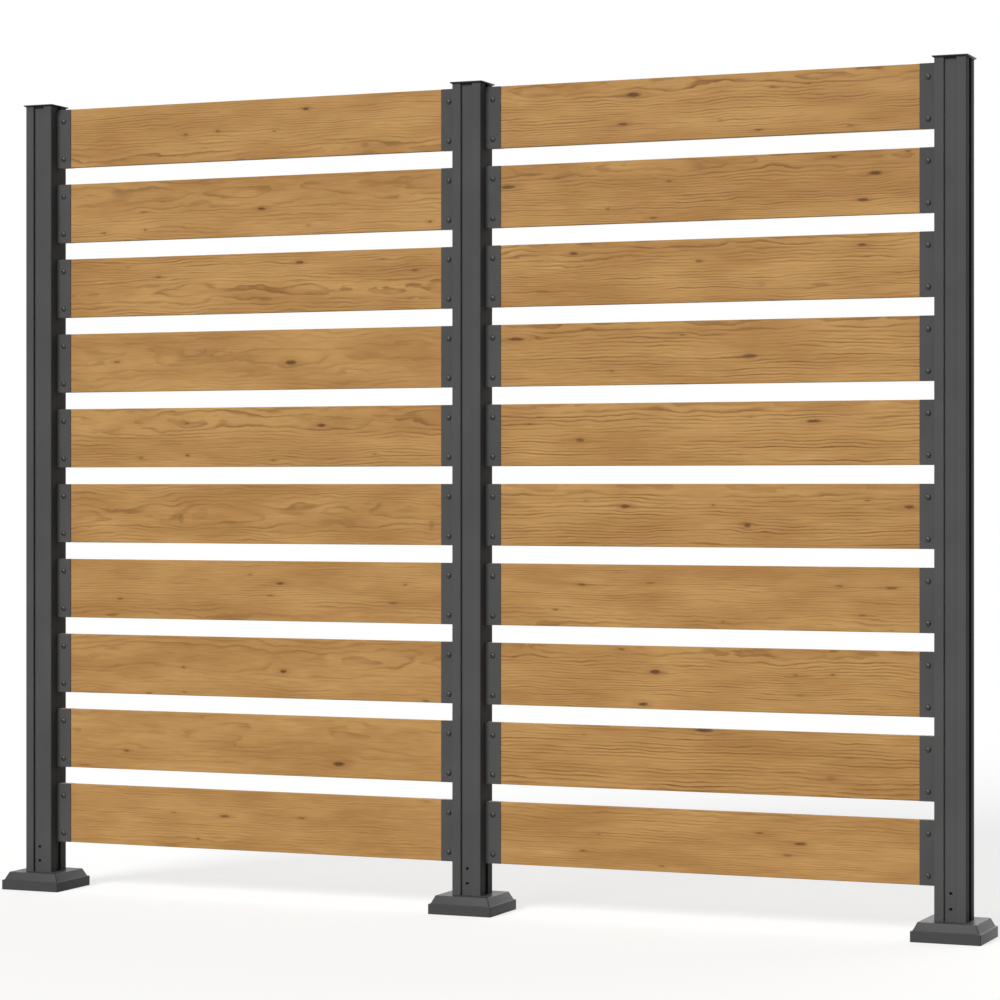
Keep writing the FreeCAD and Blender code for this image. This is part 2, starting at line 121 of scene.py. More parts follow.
# Knots of each plank: millimetres from its left bracket, millimetres up from its lower edge,
# half its length, half its height, and how dark it is from 0 to 1. The first is read as if the
# plank were seen square on; NEAR_END_GROWTH sets it right for a plank that comes nearer rightward
NEAR_END_GROWTH = 1.055
KNOTS = {
    "left_bay_10": [(617, 112, 9, 3.5, 1.0), (383, 115, 5, 2, 0.3), (386, 71, 6, 3, 0.6),
                    (301, 66, 8, 3.5, 0.6), (534, 64, 7, 3, 0.5), (772, 22, 12, 8, 0.3)],
    "left_bay_09": [(500, 64, 11, 4, 1.0), (190, 67, 9, 3, 0.4), (86, 20, 8, 3, 0.6),
                    (195, 24, 5, 3, 0.6), (943, 20, 7, 3, 0.7), (622, 22, 6, 3, 0.4)],
    "left_bay_08": [(600, 116, 12, 4, 0.9), (230, 91, 9, 3, 0.7), (903, 90, 11, 4, 0.6),
                    (149, 117, 5, 3, 0.3), (511, 32, 20, 5, 0.35), (816, 116, 5, 2, 0.3)],
    "left_bay_07": [(577, 63, 17, 6, 1.0), (121, 71, 9, 3, 0.7), (352, 94, 4, 3, 0.3),
                    (471, 43, 18, 6, 0.15)],
    "left_bay_06": [(657, 96, 13, 4.5, 0.95), (304, 103, 8, 3.5, 0.6), (184, 22, 9, 3, 0.6),
                    (306, 28, 6, 3.5, 0.7), (531, 16, 10, 4, 0.4), (798, 29, 8, 3, 0.4)],
    "left_bay_05": [(289, 58, 8, 14, 0.3), (947, 45, 8, 14, 0.3), (417, 49, 22, 5, 0.25)],
    "left_bay_04": [(549, 88, 13, 3.5, 0.9), (129, 47, 9, 3, 0.7), (523, 59, 11, 2.5, 0.6),
                    (846, 46, 11, 3, 0.6), (878, 89, 7, 3, 0.5), (470, 108, 8, 3, 0.4)],
    "left_bay_03": [(557, 63, 10, 5, 0.95), (296, 67, 6, 3, 0.6), (206, 3, 8, 3, 0.5),
                    (298, 8, 5, 2.5, 0.5), (933, 4, 10, 3, 0.6)],
    "left_bay_02": [(703, 32, 18, 6, 1.0), (146, 44, 9, 4, 0.6), (429, 69, 4, 3, 0.4),
                    (344, 130, 6, 2, 0.35), (35, 7, 25, 3, 0.35)],
    "left_bay_01": [(404, 79, 14, 3.5, 0.8), (605, 83, 12, 3, 0.6), (334, 23, 6, 2.5, 0.6),
                    (270, 82, 9, 2.5, 0.4), (933, 134, 10, 2, 0.35)],
    "right_bay_10": [(308, 105, 19, 6, 1.0), (284, 41, 14, 4, 0.9), (631, 106, 8, 2.5, 0.6),
                     (716, 110, 5, 2, 0.5), (598, 14, 10, 3, 0.6), (509, 40, 6, 2.5, 0.4),
                     (811, 14, 9, 2.5, 0.5)],
    "right_bay_09": [(870, 90, 18, 5, 1.0), (16, 91, 20, 5, 0.9), (841, 33, 15, 4, 0.9),
                     (774, 128, 10, 3, 0.7), (947, 134, 9, 2.5, 0.7), (391, 90, 9, 3, 0.6),
                     (249, 34, 6, 3, 0.5), (354, 10, 12, 3, 0.6)],
    "right_bay_08": [(169, 116, 13, 4, 0.9), (839, 116, 14, 3.5, 0.9), (460, 91, 10, 3.5, 0.7),
                     (95, 32, 17, 4, 0.35), (741, 32, 24, 5, 0.35), (607, 36, 9, 7, 0.2)],
    "right_bay_07": [(35, 107, 25, 4.5, 0.95), (422, 109, 9, 2.5, 0.6), (579, 60, 19, 6, 0.75),
                     (258, 31, 8, 4, 0.35)],
    "right_bay_06": [(727, 96, 20, 4, 0.9), (184, 58, 14, 5, 0.75), (581, 106, 10, 2, 0.4),
                     (68, 95, 9, 3, 0.4)],
    "right_bay_05": [(289, 90, 12, 5, 0.9), (949, 90, 13, 4.5, 0.9), (573, 49, 10, 5.5, 0.9),
                     (851, 104, 8, 2, 0.6), (494, 93, 5, 3, 0.5), (198, 103, 8, 2, 0.4)],
    "right_bay_04": [(188, 94, 12, 3, 0.75), (907, 95, 16, 3, 0.75), (787, 98, 9, 2.5, 0.6),
                     (841, 36, 11, 2.5, 0.6), (127, 37, 7, 2.5, 0.6), (348, 100, 12, 2.5, 0.5),
                     (517, 17, 7, 2.5, 0.5)],
    "right_bay_03": [(359, 83, 15, 6, 1.0), (331, 11, 13, 4.5, 0.95), (281, 132, 9, 3, 0.7),
                     (772, 86, 6, 2.5, 0.6), (684, 83, 7, 2.5, 0.5), (771, 138, 10, 2, 0.6),
                     (697, 39, 14, 3, 0.4)],
    "right_bay_02": [(471, 137, 26, 5, 1.0), (767, 41, 14, 7, 0.3), (194, 119, 6, 2, 0.3)],
    "right_bay_01": [(696, 76, 18, 3.5, 0.9), (667, 50, 14, 3, 0.6), (601, 96, 10, 3, 0.6),
                     (191, 39, 11, 3, 0.6), (228, 77, 6, 2, 0.5), (374, 13, 9, 3, 0.5)],
}

# Figure of each plank: growth-ring spacing, ring contrast, height and depth of the log's heart
# behind the plank's middle, and how far the rings wander; all but the contrast in millimetres
FIGURES = {
    "left_bay_10": (5.0, 0.75, -60, 26, 9), "left_bay_09": (6.0, 0.60, 35, 34, 13),
    "left_bay_08": (5.0, 0.80, -20, 30, 10), "left_bay_07": (7.0, 0.40, 10, 42, 16),
    "left_bay_06": (5.5, 0.75, 40, 32, 11), "left_bay_05": (6.0, 0.65, 0, 30, 17),
    "left_bay_04": (4.6, 0.60, -70, 30, 7), "left_bay_03": (6.5, 0.55, 20, 36, 15),
    "left_bay_02": (7.0, 0.40, 25, 46, 13), "left_bay_01": (4.8, 0.55, -80, 30, 6),
    "right_bay_10": (4.8, 0.90, 60, 26, 9), "right_bay_09": (4.8, 0.85, 55, 24, 9),
    "right_bay_08": (5.2, 0.90, 70, 28, 10), "right_bay_07": (6.2, 1.00, 80, 30, 8),
    "right_bay_06": (6.2, 1.00, 75, 26, 8), "right_bay_05": (6.0, 1.00, 65, 26, 9),
    "right_bay_04": (4.6, 0.65, -70, 28, 6), "right_bay_03": (4.8, 0.90, 62, 24, 8),
    "right_bay_02": (6.4, 1.00, -90, 26, 7), "right_bay_01": (4.8, 0.60, 85, 30, 7),
}


# ---- Nodes and colours ----

def linear(code):
    """Linear RGBA of an sRGB hex colour."""
    channels = [int(code[i:i + 2], 16) / 255 for i in (1, 3, 5)]
    return [c / 12.92 if c <= 0.04045 else ((c + 0.055) / 1.055) ** 2.4 for c in channels] + [1.0]


def add(tree, kind, sockets=None, **settings):
    """Add a node with its settings; a socket takes a value or another node's output."""
    node = tree.nodes.new("ShaderNode" + kind)
    for key, value in settings.items():
        setattr(node, key, value)
    for key, value in (sockets or {}).items():
        if isinstance(value, bpy.types.Node):
            value = value.outputs[0]
        if isinstance(value, bpy.types.NodeSocket):
            tree.links.new(value, node.inputs[key])
        else:
            node.inputs[key].default_value = value
    return node


def new_material(name):
    """Empty node material and its tree."""
    material = bpy.data.materials.new(name)
    material.use_nodes = True
    material.node_tree.nodes.clear()
    return material, material.node_tree


def finish_material(tree, surface):
    """Wire a surface shader to the material's output."""
    add(tree, "OutputMaterial", {"Surface": surface})


def millimetres(tree, centre=(0, 0, 0)):
    """Place on the piece in millimetres from a centre, which is given in metres."""
    place = add(tree, "TexCoord").outputs["Object"]
    offset = add(tree, "VectorMath", {0: place, 1: centre}, operation="SUBTRACT")
    return add(tree, "VectorMath", {0: offset, "Scale": 1 / MM}, operation="SCALE")


# ---- Finishes ----

POWDER_COAT_COLOUR = "#505050"
POWDER_COAT_GRIT = 0.5
POWDER_COAT_CLOUD = 140.0
POWDER_COAT_SHEEN = 0.03


def powder_coat(name):
    """Powder coat on aluminium: baked polyester with a fine grit, an even satin that never mirrors."""
    material, tree = new_material(name)
    place = millimetres(tree)
    # The grit is about 0.2 mm on the real coat and is drawn at 0.5 mm, so that it shows close up
    grit_place = add(tree, "VectorMath", {0: place, "Scale": 1 / POWDER_COAT_GRIT}, operation="SCALE")
    grit = add(tree, "TexNoise", {"Vector": grit_place, "Scale": 1.0, "Detail": 2.0})
    cloud_place = add(tree, "VectorMath", {0: place, "Scale": 1 / POWDER_COAT_CLOUD}, operation="SCALE")
    cloud = add(tree, "TexNoise", {"Vector": cloud_place, "Scale": 1.0, "Detail": 2.0})
    tone = add(tree, "MapRange", {"Value": cloud, "From Min": 0.3, "From Max": 0.7,
                                 "To Min": 0.93, "To Max": 1.07})
    shade = add(tree, "VectorMath", {0: linear(POWDER_COAT_COLOUR)[:3], "Scale": tone}, operation="SCALE")
    rough = add(tree, "MapRange", {"Value": grit, "From Min": 0.3, "From Max": 0.7,
                                  "To Min": 0.62, "To Max": 0.74})
    bump = add(tree, "Bump", {"Height": grit, "Strength": 0.35, "Distance": 0.06 * MM})
    finish_material(tree, add(tree, "BsdfPrincipled", {
        "Base Color": shade, "Roughness": rough, "Normal": bump, "Specular IOR Level": POWDER_COAT_SHEEN}))
    return material


MOULDED_COLOUR = "#454545"
MOULDED_GRAIN = 0.8
MOULDED_SHEEN = 0.1


def moulded_abs(name):
    """Moulded ABS in anthracite: a fine spark-eroded grain, satin, with a soft sheen along the edges."""
    material, tree = new_material(name)
    place = millimetres(tree)
    grain_place = add(tree, "VectorMath", {0: place, "Scale": 1 / MOULDED_GRAIN}, operation="SCALE")
    grain = add(tree, "TexVoronoi", {"Vector": grain_place, "Scale": 1.0}, feature="SMOOTH_F1")
    rough = add(tree, "MapRange", {"Value": grain, "From Min": 0.1, "From Max": 0.8,
                                  "To Min": 0.30, "To Max": 0.40})
    bump = add(tree, "Bump", {"Height": grain, "Strength": 0.25, "Distance": 0.05 * MM})
    finish_material(tree, add(tree, "BsdfPrincipled", {
        "Base Color": linear(MOULDED_COLOUR), "Roughness": rough, "Normal": bump,
        "Specular IOR Level": MOULDED_SHEEN}))
    return material


SCREW_COLOUR = "#3f3f40"


def blackened_steel(name):
    """Blackened stainless steel: a metal under a dark oxide, smooth, with small bright glints."""
    material, tree = new_material(name)
    place = millimetres(tree)
    wear = add(tree, "TexNoise", {"Vector": place, "Scale": 1.4, "Detail": 3.0})
    rough = add(tree, "MapRange", {"Value": wear, "From Min": 0.3, "From Max": 0.7,
                                  "To Min": 0.42, "To Max": 0.55})
    finish_material(tree, add(tree, "BsdfPrincipled", {
        "Base Color": linear(SCREW_COLOUR), "Metallic": 0.6, "Roughness": rough}))
    return material


BLACK_OXIDE_COLOUR = "#161616"


def black_oxide(name):
    """Black oxide on steel: an oiled black bloom, so the sunk screws read as dark dots."""
    material, tree = new_material(name)
    place = millimetres(tree)
    bloom = add(tree, "TexNoise", {"Vector": place, "Scale": 1.8, "Detail": 2.0})
    rough = add(tree, "MapRange", {"Value": bloom, "From Min": 0.3, "From Max": 0.7,
                                  "To Min": 0.5, "To Max": 0.65})
    finish_material(tree, add(tree, "BsdfPrincipled", {
        "Base Color": linear(BLACK_OXIDE_COLOUR), "Metallic": 1.0, "Roughness": rough}))
    return material


ZINC_LIGHT = "#a9adb0"
ZINC_DARK = "#8b9094"
ZINC_SPANGLE = 7.0


def galvanised_steel(name):
    """Hot-dip galvanised steel: zinc crystals a few millimetres across, grey and softly metallic."""
    material, tree = new_material(name)
    place = millimetres(tree)
    spangle_place = add(tree, "VectorMath", {0: place, "Scale": 1 / ZINC_SPANGLE}, operation="SCALE")
    spangle = add(tree, "TexVoronoi", {"Vector": spangle_place, "Scale": 1.0})
    tint = add(tree, "Mix", {0: spangle.outputs["Color"], 6: linear(ZINC_DARK), 7: linear(ZINC_LIGHT)},
               data_type="RGBA")
    finish_material(tree, add(tree, "BsdfPrincipled", {
        "Base Color": tint.outputs[2], "Metallic": 0.8, "Roughness": 0.48}))
    return material


WOOD_LIGHT = "#b98e55"
WOOD_BODY = "#a67a44"
WOOD_RING = "#744d1f"
WOOD_KNOT = "#573616"
WOOD_SHEEN = 0.18
KNOT_DEPTH = 40.0
KNOT_CORE_SHARE = 0.9
KNOT_HALO_SHARE = 0.28
KNOT_RAGGED_LENGTH = 9.0
KNOT_RAGGED_WIDTH = 3.0
KNOT_RAGGED_REACH = (9.0, 0.0, 3.4)
RING_SPREAD = 1.12
RING_PUSH = 0.8
RING_WANDER_LENGTH = 230.0
RING_WANDER_HEIGHT = 60.0
RING_WANDER_GAIN = 2.6
LATE_WOOD_START = 0.4
LATE_WOOD_FULL = 0.86
LATE_WOOD_FADE = 0.9
RIPPLE_LENGTH = 55.0
RIPPLE_HEIGHT = 20.0
RIPPLE_REACH = 7.0
FIBRE_LENGTH = 60.0
FIBRE_WIDTH = 1.5
STREAK_LENGTH = 170.0
STREAK_WIDTH = 16.0
CLOUD_LENGTH = 240.0
CLOUD_WIDTH = 60.0


def knot_group():
    """Node group of one knot: its dark core, the darker wood round it, and how far it pushes the rings."""
    tree = bpy.data.node_groups.new("knot", "ShaderNodeTree")
    for name, kind in (("Place", "NodeSocketVector"), ("Centre", "NodeSocketVector"),
                       ("Half Size", "NodeSocketVector"), ("Darkness", "NodeSocketFloat")):
        tree.interface.new_socket(name, in_out="INPUT", socket_type=kind)
    for name in ("Core", "Halo", "Push"):
        tree.interface.new_socket(name, in_out="OUTPUT", socket_type="NodeSocketFloat")
    given = tree.nodes.new("NodeGroupInput").outputs
    away = add(tree, "VectorMath", {0: given["Place"], 1: given["Centre"]}, operation="SUBTRACT")
    unit = add(tree, "VectorMath", {0: away, 1: given["Half Size"]}, operation="DIVIDE")
    distance = add(tree, "VectorMath", {0: unit}, operation="LENGTH").outputs["Value"]
    core = add(tree, "MapRange", {"Value": distance, "From Min": 1.15, "From Max": 0.45},
               interpolation_type="SMOOTHSTEP")
    halo = add(tree, "MapRange", {"Value": distance, "From Min": 3.2, "From Max": 0.6},
               interpolation_type="SMOOTHSTEP")
    # Past the knot the rings swing out above and below it, and close again behind it
    height = add(tree, "SeparateXYZ", {0: away}).outputs["Z"]
    reach = add(tree, "MapRange", {"Value": distance, "From Min": 4.5, "From Max": 0.0},
                interpolation_type="SMOOTHSTEP")
    push = add(tree, "Math", {0: height, 1: reach}, operation="MULTIPLY")
    result = tree.nodes.new("NodeGroupOutput").inputs
    for socket, value in (("Core", core), ("Halo", halo), ("Push", push)):
        scaled = add(tree, "Math", {0: value, 1: given["Darkness"]}, operation="MULTIPLY")
        tree.links.new(scaled.outputs[0], result[socket])
    return tree


def softwood(name, plank, knot, seed):
    """Planed softwood under honey-brown oil: late-wood lines, fine fibre and scattered brown knots."""
    material, tree = new_material(name)
    low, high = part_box("plank_" + plank)
    spacing, contrast, heart_up, heart_behind, wander_reach = FIGURES[plank]
    place = millimetres(tree, (low + high) / 2)

    def noise(length, width, detail, offset):
        """Noise drawn out along the plank, at these sizes in millimetres."""
        scale = (1 / length, 1 / width, 1 / width)
        drawn = add(tree, "VectorMath", {0: place, 1: scale, 2: (offset, seed * 3.7, seed * 1.9)},
                    operation="MULTIPLY_ADD")
        return add(tree, "TexNoise", {"Vector": drawn, "Scale": 1.0, "Detail": detail})

    def sway(length, width, offset):
        """The same noise as a vector that sways to both sides of nothing."""
        waves = noise(length, width, 2.0, offset).outputs["Color"]
        return add(tree, "VectorMath", {0: waves, 1: (0.5, 0.5, 0.5)}, operation="SUBTRACT")

    # Knots on the front face, one after the other, in millimetres from the plank's middle
    visible = (high.x - low.x) / MM / 2 - (BRACKET_REACH - PLANK_FROM_POST)
    front = (low.y - high.y) / MM / 2
    half_height = (high.z - low.z) / MM / 2
    ragged = sway(KNOT_RAGGED_LENGTH, KNOT_RAGGED_WIDTH, 11.0)
    knot_place = add(tree, "VectorMath", {0: ragged, 1: KNOT_RAGGED_REACH, 2: place},
                     operation="MULTIPLY_ADD")
    core, halo, push = 0.0, 0.0, 0.0
    for seen_along, up, half_length, half_thick, darkness in KNOTS[plank]:
        share = seen_along / (2 * visible)
        along = seen_along * NEAR_END_GROWTH / (1 + share * (NEAR_END_GROWTH - 1))
        one = add(tree, "Group", {
            "Place": knot_place, "Centre": (along - visible, front, up - half_height),
            "Half Size": (half_length, KNOT_DEPTH, half_thick), "Darkness": darkness}, node_tree=knot)
        core = add(tree, "Math", {0: core, 1: one.outputs["Core"]}, operation="MAXIMUM")
        halo = add(tree, "Math", {0: halo, 1: one.outputs["Halo"]}, operation="MAXIMUM")
        push = add(tree, "Math", {0: push, 1: one.outputs["Push"]}, operation="ADD")

    # Growth rings round the log's heart, which lies behind the plank and wanders along it
    wander = add(tree, "VectorMath", {0: sway(RING_WANDER_LENGTH, RING_WANDER_HEIGHT, seed * 5.3),
                                      "Scale": RING_WANDER_GAIN * wander_reach}, operation="SCALE")
    ripple = add(tree, "VectorMath", {0: sway(RIPPLE_LENGTH, RIPPLE_HEIGHT, seed * 2.1),
                                      "Scale": RIPPLE_REACH}, operation="SCALE")
    astray = add(tree, "VectorMath", {0: wander, 1: ripple}, operation="ADD")
    heart = add(tree, "VectorMath", {0: place, 1: (0.0, heart_behind, heart_up)}, operation="SUBTRACT")
    moved = add(tree, "VectorMath", {0: heart, 1: astray}, operation="ADD")
    axes = add(tree, "SeparateXYZ", {0: moved}).outputs
    aside = add(tree, "Math", {0: push, 1: RING_PUSH}, operation="MULTIPLY")
    height = add(tree, "Math", {0: axes["Z"], 1: aside}, operation="SUBTRACT")
    height_squared = add(tree, "Math", {0: height, 1: 2.0}, operation="POWER")
    depth_squared = add(tree, "Math", {0: axes["Y"], 1: 2.0}, operation="POWER")
    radius_squared = add(tree, "Math", {0: height_squared, 1: depth_squared}, operation="ADD")
    radius = add(tree, "Math", {0: radius_squared}, operation="SQRT")
    rings = add(tree, "Math", {0: radius, 1: spacing * RING_SPREAD}, operation="DIVIDE")

    # Each year's ring darkens slowly and ends at once; years and stretches differ in strength
    phase = add(tree, "Math", {0: rings}, operation="FRACT")
    rise = add(tree, "MapRange", {"Value": phase, "From Min": LATE_WOOD_START, "From Max": LATE_WOOD_FULL},
               interpolation_type="SMOOTHSTEP")
    fall = add(tree, "MapRange", {"Value": phase, "From Min": 1.0, "From Max": LATE_WOOD_FADE},
               interpolation_type="SMOOTHSTEP")
    year = add(tree, "TexWhiteNoise", {"W": add(tree, "Math", {0: rings}, operation="FLOOR")},
               noise_dimensions="1D")
    year_strength = add(tree, "MapRange", {"Value": year, "To Min": 0.35, "To Max": 1.0})
    streak = add(tree, "MapRange", {"Value": noise(STREAK_LENGTH, STREAK_WIDTH, 3.0, seed * 0.7),
                                    "From Min": 0.36, "From Max": 0.62, "To Min": 0.15, "To Max": 1.0})
    line = rise
    for strength in (fall, year_strength, streak, contrast):
        line = add(tree, "Math", {0: line, 1: strength}, operation="MULTIPLY")

    # Colour: clouded body, late-wood lines, fibre, then the knots
    cloud = add(tree, "MapRange", {"Value": noise(CLOUD_LENGTH, CLOUD_WIDTH, 3.0, seed * 1.3),
                                   "From Min": 0.35, "From Max": 0.65})
    body = add(tree, "Mix", {0: cloud, 6: linear(WOOD_BODY), 7: linear(WOOD_LIGHT)}, data_type="RGBA")
    lined = add(tree, "Mix", {0: line, 6: body.outputs[2], 7: linear(WOOD_RING)}, data_type="RGBA")
    fibre_noise = noise(FIBRE_LENGTH, FIBRE_WIDTH, 2.0, seed * 0.3)
    fibre = add(tree, "MapRange", {"Value": fibre_noise, "From Min": 0.3, "From Max": 0.7,
                                   "To Min": 0.87, "To Max": 1.11})
    shaded = add(tree, "VectorMath", {0: lined.outputs[2], "Scale": fibre}, operation="SCALE")
    halo_share = add(tree, "Math", {0: halo, 1: KNOT_HALO_SHARE}, operation="MULTIPLY")
    warmed = add(tree, "Mix", {0: halo_share, 6: shaded, 7: linear(WOOD_RING)}, data_type="RGBA")
    core_share = add(tree, "Math", {0: core, 1: KNOT_CORE_SHARE}, operation="MULTIPLY")
    knotted = add(tree, "Mix", {0: core_share, 6: warmed.outputs[2], 7: linear(WOOD_KNOT)}, data_type="RGBA")

    # Early wood wears a little lower than the late-wood lines, and the fibre can be felt
    line_relief = add(tree, "Math", {0: line, 1: 0.6}, operation="MULTIPLY")
    relief = add(tree, "Math", {0: fibre_noise, 1: 0.5, 2: line_relief}, operation="MULTIPLY_ADD")
    bump = add(tree, "Bump", {"Height": relief, "Strength": 0.5, "Distance": 0.25 * MM})
    rough = add(tree, "MapRange", {"Value": line, "To Min": 0.6, "To Max": 0.5})
    finish_material(tree, add(tree, "BsdfPrincipled", {
        "Base Color": knotted.outputs[2], "Roughness": rough, "Normal": bump,
        "Specular IOR Level": WOOD_SHEEN}))
    return material


# ---- Mesh helpers ----

def new_object(name, data):
    """Object for a mesh, light or camera, linked into the scene."""
    thing = bpy.data.objects.new(name, data)
    bpy.context.scene.collection.objects.link(thing)
    return thing


def middle_and_half(node):
    """A node's middle along the screen and half its width, in millimetres."""
    low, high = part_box(node)
    return (low.x + high.x) / 2 / MM, (high.x - low.x) / 2 / MM


def add_piece(name, mesh, body, material, node):
    """Place a mesh as a piece that rides on a body and stands for a CAD node."""
    piece = new_object(name, mesh)
    mesh.materials.append(material)
    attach(piece, body)
    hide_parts(node)
    return piece


def cut_away(piece, shapes):
    """Mesh of a piece less some closed shapes, which are used up."""
    cutters = []
    for bm in shapes:
        mesh = bpy.data.meshes.new("cutter")
        bm.to_mesh(mesh)
        bm.free()
        cut = piece.modifiers.new("cut", "BOOLEAN")
        cut.object = new_object("cutter", mesh)
        cut.operation = "DIFFERENCE"
        cut.solver = "EXACT"
        cutters.append(cut.object)
    graph = bpy.context.evaluated_depsgraph_get()
    shaped = bpy.data.meshes.new_from_object(piece.evaluated_get(graph))
    piece.modifiers.clear()
    for cutter in cutters:
        bpy.data.objects.remove(cutter)
    return shaped


def finish_mesh(bm, name, smooth_angle=35.0):
    """Turn bm into a mesh with its normals outward, smooth but for edges sharper than an angle."""
    bmesh.ops.recalc_face_normals(bm, faces=bm.faces)
    mesh = bpy.data.meshes.new(name)
    bm.to_mesh(mesh)
    bm.free()
    mesh.shade_smooth()
    mesh.set_sharp_from_angle(angle=math.radians(smooth_angle))
    return mesh


def ease_edges(piece, width, segments=2, angle=30.0):
    """Round every edge sharper than an angle, in millimetres."""
    bevel = piece.modifiers.new("eased edges", "BEVEL")
    bevel.width = width * MM
    bevel.segments = segments
    bevel.limit_method = "ANGLE"
    bevel.angle_limit = math.radians(angle)
    bevel.harden_normals = True


def mirrored_outline(quarter):
    """Closed outline from its first quarter, mirrored about both axes."""
    half = quarter + [(-x, y) for x, y in reversed(quarter)]
    return half + [(-x, -y) for x, y in half]


def skin_rings(bm, rings):
    """Join each ring of points to the next with quads."""
    for lower, upper in zip(rings, rings[1:]):
        for i in range(len(lower)):
            bm.faces.new((lower[i - 1], lower[i], upper[i], upper[i - 1]))


def add_prism(bm, outlines, low, high):
    """Add an upright prism over an outline, less any inner ones; millimetres, with flat ends."""
    rims = []
    for z in (low, high):
        loops = []
        for outline in outlines:
            loops.append([bm.verts.new((x * MM, y * MM, z * MM)) for x, y in outline])
        rims.append(loops)
        if len(loops) == 1:
            bm.faces.new(loops[0])
        else:
            edges = [bm.edges.new((loop[i - 1], loop[i])) for loop in loops for i in range(len(loop))]
            bmesh.ops.triangle_fill(bm, edges=edges, use_beauty=True)
    for lower, upper in zip(*rims):
        skin_rings(bm, [lower, upper])


def square_ring(bm, half, corner, z, centre_x, steps=6):
    """Add a level ring of points round a square with rounded corners; millimetres."""
    ring = []
    for quadrant in range(4):
        start = quadrant * math.pi / 2
        middle = start + math.pi / 4
        centre = Vector((math.cos(middle), math.sin(middle))) * (half - corner) * math.sqrt(2)
        for step in range(steps + 1):
            angle = start + step / steps * math.pi / 2
            x = centre.x + corner * math.cos(angle)
            y = centre.y + corner * math.sin(angle)
            ring.append(bm.verts.new(((centre_x + x) * MM, y * MM, z * MM)))
    return ring


# ---- Posts ----

def post_outlines(half):
    """Outside and inside outlines of the post, both about x = 0."""
    slot_floor = half - SLOT_DEPTH
    lip = half - SLOT_LIP
    recess_floor = half - RECESS_DEPTH
    round_centre = half - POST_CORNER
    corner = [
        (round_centre + POST_CORNER * math.cos(angle), round_centre + POST_CORNER * math.sin(angle))
        for angle in (math.pi / 8 * step for step in range(5))
    ]
    outside = [(slot_floor, UNDERCUT_HALF), (lip, UNDERCUT_HALF), (lip, SLOT_HALF), (half, SLOT_HALF)]
    outside += corner + [(RECESS_HALF, half), (RECESS_HALF, recess_floor)]
    chamber = half - POST_WALL
    inside = [
        (slot_floor - POST_WALL, UNDERCUT_HALF + POST_WALL),
        (chamber, UNDERCUT_HALF + POST_WALL),
        (chamber, chamber),
        (RECESS_HALF + POST_WALL, chamber),
        (RECESS_HALF + POST_WALL, recess_floor - POST_WALL),
    ]
    return mirrored_outline(outside), mirrored_outline(inside)


def bore_shape(centre, radius, length):
    """Closed cylinder along Y to cut a round hole with; millimetres."""
    bm = bmesh.new()
    bmesh.ops.create_cone(bm, segments=48, radius1=radius * MM, radius2=radius * MM, depth=length * MM,
                          cap_ends=True, cap_tris=False)
    lie_along_y = Vector((0, 0, 1)).rotation_difference(Vector((0, 1, 0))).to_matrix()
    bmesh.ops.rotate(bm, verts=bm.verts, matrix=lie_along_y)
    bmesh.ops.translate(bm, verts=bm.verts, vec=Vector(centre) * MM)
    return bm


def make_post(name, material):
    """One post with its slots, recesses and the two foot-screw holes."""
    node = "post_" + name
    low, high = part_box(node)
    centre_x, half = middle_and_half(node)
    bm = bmesh.new()
    add_prism(bm, post_outlines(half), low.z / MM, high.z / MM)
    bmesh.ops.translate(bm, verts=bm.verts, vec=(centre_x * MM, 0, 0))
    piece = add_piece("extruded_" + node, finish_mesh(bm, node), "screen", material, node)
    screw_low, screw_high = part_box("foot_screws_" + name)
    screw_radius = (screw_high.x - screw_low.x) / MM / 2
    heights = (screw_low.z / MM + screw_radius, screw_high.z / MM - screw_radius)
    recess_floor = RECESS_DEPTH - half
    piece.data = cut_away(piece, [
        bore_shape((centre_x, recess_floor, height), FOOT_HOLE_RADIUS, FOOT_HOLE_LENGTH)
        for height in heights
    ])
    ease_edges(piece, EXTRUSION_EDGE)


def make_cap(name, material):
    """One cap: a thin plate with a bevelled underside, and the hollow plug below it."""
    node = "post_cap_" + name
    centre_x, half = middle_and_half(node)
    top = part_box(node)[1].z / MM
    post_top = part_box("post_" + name)[1].z / MM
    plug = half - CAP_OVERHANG - SLOT_DEPTH - POST_WALL - CAP_PLUG_FIT
    profile = [
        (half, POST_CORNER, top),
        (half, POST_CORNER, top - CAP_EDGE_LOW),
        (half - CAP_OVERHANG, POST_CORNER, post_top),
        (plug, CAP_PLUG_CORNER, post_top),
        (plug, CAP_PLUG_CORNER, post_top - CAP_PLUG),
        (plug - CAP_PLUG_WALL, CAP_PLUG_CORNER, post_top - CAP_PLUG),
        (plug - CAP_PLUG_WALL, CAP_PLUG_CORNER, post_top),
    ]
    bm = bmesh.new()
    rings = [square_ring(bm, size, corner, z, centre_x) for size, corner, z in profile]
    skin_rings(bm, rings)
    bm.faces.new(rings[0])
    bm.faces.new(rings[-1])
    piece = add_piece("moulded_" + node, finish_mesh(bm, node), "screen", material, node)
    ease_edges(piece, CAP_EDGE, segments=3)


